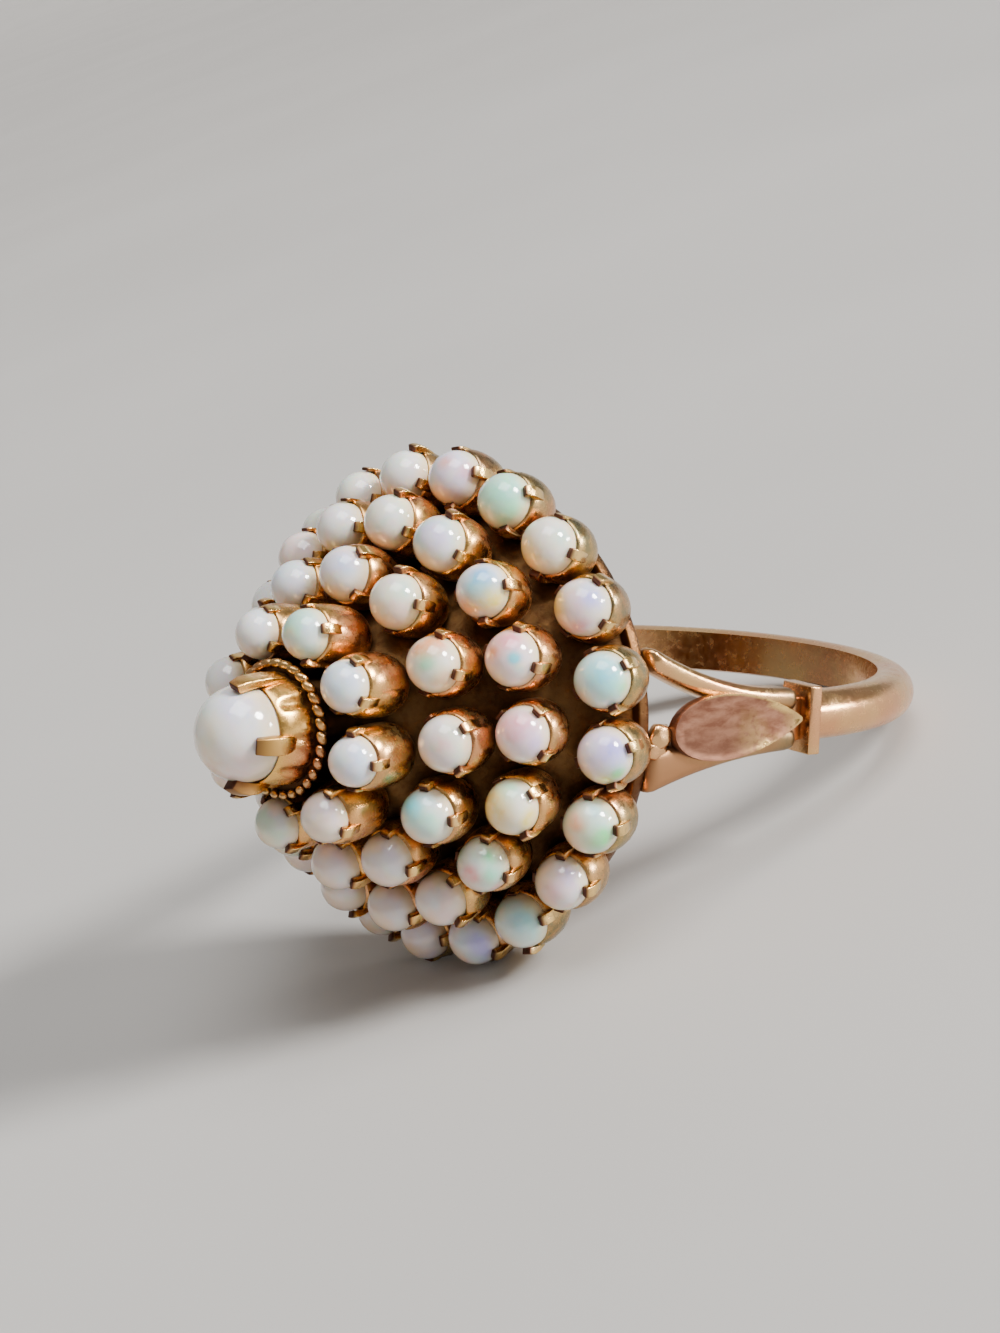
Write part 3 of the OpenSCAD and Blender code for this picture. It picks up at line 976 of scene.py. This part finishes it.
def make_solder(name, place, size, seed):
    """A small melted lump of solder."""
    put_down()
    bpy.ops.mesh.primitive_ico_sphere_add(subdivisions=3, radius=size, location=place)
    lump = new_piece(name)
    stretch(0.75, 1.05, 1.35, place)
    bpy.ops.transform.vertex_random(offset=0.3 * size, uniform=0.3, normal=0.4, seed=seed)
    bpy.ops.mesh.vertices_smooth(factor=0.5, repeat=2)
    close_up(lump)
    polish(lump, 80)
    return lump


# Building the ring


def build_shank():
    """The hoop and its two shoulders, the left one a mirror of the right."""
    set_down(make_hoop(), "shank", SHANK_GOLD)
    collar = make_collar("right")
    set_down(mirrored(collar, "collar_left"), "shank", SHANK_GOLD)
    set_down(collar, "shank", SHANK_GOLD)
    arms = join_up("arms_right", [make_arm("upper_arm", UPPER_SPREAD, UPPER_START, 1, ARM_W),
                                  make_arm("lower_arm", LOWER_SPREAD, LOWER_START, -1, LOWER_ROOT_W)])
    polish(arms)
    set_down(mirrored(arms, "arms_left"), "shank", SHANK_GOLD)
    set_down(arms, "shank", SHANK_GOLD)
    leaf = make_leaf("leaf_right")
    set_down(mirrored(leaf, "leaf_left"), "shank", LEAF_GOLD)
    set_down(leaf, "shank", LEAF_GOLD)
    for number, (place, size) in enumerate(SOLDER):
        set_down(make_solder(f"solder_{number}", place, size, number + 3), "shank", SHANK_GOLD)


def stone_angle(tier, number):
    """Where a stone stands round its tier: on the front by the tier's step, behind evenly in what is left."""
    count, _, _, _, first, step, front = tier
    if number < front:
        return first - step * number
    last = first - step * (front - 1)
    back_step = (360 - step * (front - 1)) / (count - front + 1)
    return last - back_step * (number - front + 1)


# The turn of the claws of each stone on the front: where one of them shows, as seen by the camera
CLAWS_AT = {
    "upper": [-20, -28, 25, -33, 0, -28, -60],
    "second": [-30, -50, 0, -17, -60, 0, -16, -40],
    "third": [10, -20, -25, 25, -15, -45, 45, -20, -50, -20, 30],
    "rim": [0, -15, 20, 30, -15, -37, 45, 30, 0, -10, 20, -30, 0],
}


# Stones at the outline of the dome, whose upper claws are pressed flat
FLAT_ON_TOP = [("upper", 0), ("upper", 1), ("second", 0), ("third", 0), ("rim", 0), ("rim", 4)]


def claw_turn(round_dome, seen_at):
    """Turn of the claws about a stone's axis that brings one of them where the camera sees it."""
    seen = math.radians(seen_at)
    side = math.degrees(math.atan2(math.sin(seen), math.cos(seen) / math.cos(math.radians(VIEW_ROUND))))
    return side - round_dome


def build_tiers():
    """Sets each small opal in its cup, tier by tier."""
    chance = random.Random(59)
    low = [make_collet("low_right", LOW_CUP, RIGHT_CLAWS), make_collet("low_left", LOW_CUP, LEFT_CLAWS)]
    tall = [make_collet("tall_right", TALL_CUP, RIGHT_CLAWS), make_collet("tall_left", TALL_CUP, LEFT_CLAWS)]
    stone = cabochon("opal", OPAL_R, 40, 26)
    for name, tier in TIERS.items():
        count, radius, height, lean = tier[:4]
        for number in range(count):
            on_front = number < len(STONES[name])
            angle = stone_angle(tier, number)
            size = SIZES[name] + chance.uniform(-0.012, 0.008)
            seat = (about("Z", angle) @ Matrix.Translation((radius, 0, height))
                    @ about("Y", lean + chance.uniform(-1.5, 1.5)) @ Matrix.Scale(size, 4))
            seen_at = CLAWS_AT[name][number] if on_front else chance.uniform(-60, 60)
            right, left = tall if name == "upper" else low
            master = left if seen_at > 10 or (name, number) in FLAT_ON_TOP else right
            cup = copy_of(master, f"collet_{name}_{number}", seat @ about("Z", claw_turn(angle, seen_at)))
            film = chance.uniform(0.0, 0.35)
            out = about("Z", angle) @ Vector((1, 0, 0))
            edge = 0.65 if name == "rim" else 0.0
            write_per_point(cup, "tarnish", lambda p: film + edge * min(1, max(0, p.dot(out) - radius + 0.3)))
            set_down(cup, f"collets_{name}", CUP_GOLD)
            oval = Matrix.Diagonal((1, chance.uniform(0.97, 1.0), 1, 1))
            opal = copy_of(stone, f"opal_{name}_{number}", seat @ about("Z", chance.uniform(0, 360)) @ oval)
            body = TINTS[STONES[name][number] if on_front else chance.choice(sorted(TINTS))]
            write_colours(opal, "tint", lambda p: (*body, 1))
            shine = chance.uniform(0.15, 0.5)
            write_per_point(opal, "fire", lambda p: shine)
            # Painted light and shade on the stone's sides, then its own patches of play of colour
            patches = LIT_AND_SHADED_SIDE_TINTS + PATCHES.get((name, number), [])
            write_colours(opal, "flash_and_glow", flash_at(patches, seat @ Vector((0, 0, 0)), OPAL_R * size))
            set_down(opal, f"opals_{name}", OPAL)
    for master in low + tall + [stone]:
        bpy.data.objects.remove(master)


def build_top():
    """The top opal in its collet, on the base, with the twisted wire round it."""
    set_down(make_top_collet(), "base", CUP_GOLD)
    set_down(make_base(), "base", SHADED_BASE_GOLD)
    set_down(make_rope(), "rope_ring", WIRE_GOLD)
    opal = cabochon("top_opal_stone", TOP_OPAL_R, 64, 40)
    write_colours(opal, "tint", lambda p: (*TINTS["milk"], 1))
    write_per_point(opal, "fire", lambda p: 0.25)
    # Painted light and shade on the stone's sides, then its own patches of play of colour
    write_colours(opal, "flash_and_glow", flash_at(LIT_AND_SHADED_SIDE_TINTS + TOP_PATCHES, Vector((0, 0, 0)), TOP_OPAL_R))
    opal.data.transform(Matrix.Translation((0, 0, TOP_AT)))
    set_down(opal, "top_opal", TOP_OPAL)


# The studio


def set_camera():
    """Stands the camera at the photograph's angle to the ring, and gives back how it is turned."""
    data = bpy.data.cameras.new("camera")
    data.sensor_fit = "HORIZONTAL"
    data.sensor_width = 36
    data.lens = VIEW_LENS
    data.clip_start = 0.005
    data.clip_end = 10
    data.shift_x, data.shift_y = VIEW_SHIFT
    camera = bpy.data.objects.new("camera", data)
    bpy.context.collection.objects.link(camera)
    middle = LAY_DOWN @ Vector((0, 0, 0))
    turn = TIP_OVER @ VIEW
    back = turn @ Vector((0, 0, 1))
    camera.matrix_world = Matrix.Translation((middle + back * VIEW_FAR) * MM) @ turn
    bpy.context.scene.camera = camera
    return turn


def aim_from(turn, right, up, near, distance):
    """Where a lamp stands, as seen from the camera, and its aim at the middle of the dome."""
    way = (turn @ Vector((right, up, near))).normalized()
    aim = way.to_track_quat("Z", "Y").to_matrix().to_4x4()
    middle = LAY_DOWN @ Vector((0, 0, 3))
    return Matrix.Translation((middle + way * distance) * MM) @ aim


def add_lamp(name, kind, place, power, colour):
    data = bpy.data.lights.new(name, kind)
    data.energy = power
    data.color = colour
    lamp = bpy.data.objects.new(name, data)
    bpy.context.collection.objects.link(lamp)
    lamp.matrix_world = place
    return data


# Each far lamp: where it stands to the right, up and near, as seen from the camera, and its power
FAR_LAMPS = {"far_lamp_one": (0.60, 0.63, 0.48, 5.7), "far_lamp_two": (0.945, 0.275, 0.14, 4.8)}


def set_lights(turn):
    """Two broad far lamps at the upper right, a softbox above, and a pale room."""
    for name, (right, up, near, power) in FAR_LAMPS.items():
        lamp = add_lamp(name, "SUN", aim_from(turn, right, up, near, 300), power, (1.0, 0.97, 0.93))
        lamp.angle = math.radians(17)
    softbox = add_lamp("softbox", "AREA", aim_from(turn, -0.1, 1.2, 0.7, 420), 1.3, (1.0, 0.98, 0.95))
    softbox.size = 260 * MM
    world = bpy.data.worlds.new("studio")
    world.use_nodes = True
    world.node_tree.nodes["Background"].inputs["Color"].default_value = (0.92, 0.91, 0.90, 1)
    world.node_tree.nodes["Background"].inputs["Strength"].default_value = 0.3
    bpy.context.scene.world = world


def lay_floor(turn):
    """A pale floor that sweeps up far behind the ring."""
    put_down()
    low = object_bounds()[0][2]
    look_x, look_y = -(turn @ Vector((0, 0, 1))).xy.normalized()
    bpy.ops.mesh.primitive_plane_add(size=3, location=(0, 0, low))
    floor = new_piece("floor")
    pick_points(floor, lambda p: p.y > 0)
    for back, rise in ((0.3, 0.03), (0.25, 0.09), (0.2, 0.18), (0.12, 0.3), (0, 2)):
        draw_out(0, back, rise)
    close_up(floor)
    soften(floor, 0.08, 4, 5)
    polish(floor, 80)
    floor.data.transform(Matrix.Rotation(math.atan2(look_y, look_x) - math.pi / 2, 4, "Z"))
    look, tree, shader, place = start_look("pale_floor")
    shade = ramp(tree, noise(tree, place, 0.02, 3), [(0.3, (0.49, 0.48, 0.47)), (0.7, (0.52, 0.51, 0.50))])
    tree.links.new(shade, shader.inputs["Base Color"])
    shader.inputs["Roughness"].default_value = 0.7
    floor.data.materials.append(look)
    floor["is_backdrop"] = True


build_shank()
build_tiers()
build_top()
facing = set_camera()
lay_floor(facing)
set_lights(facing)
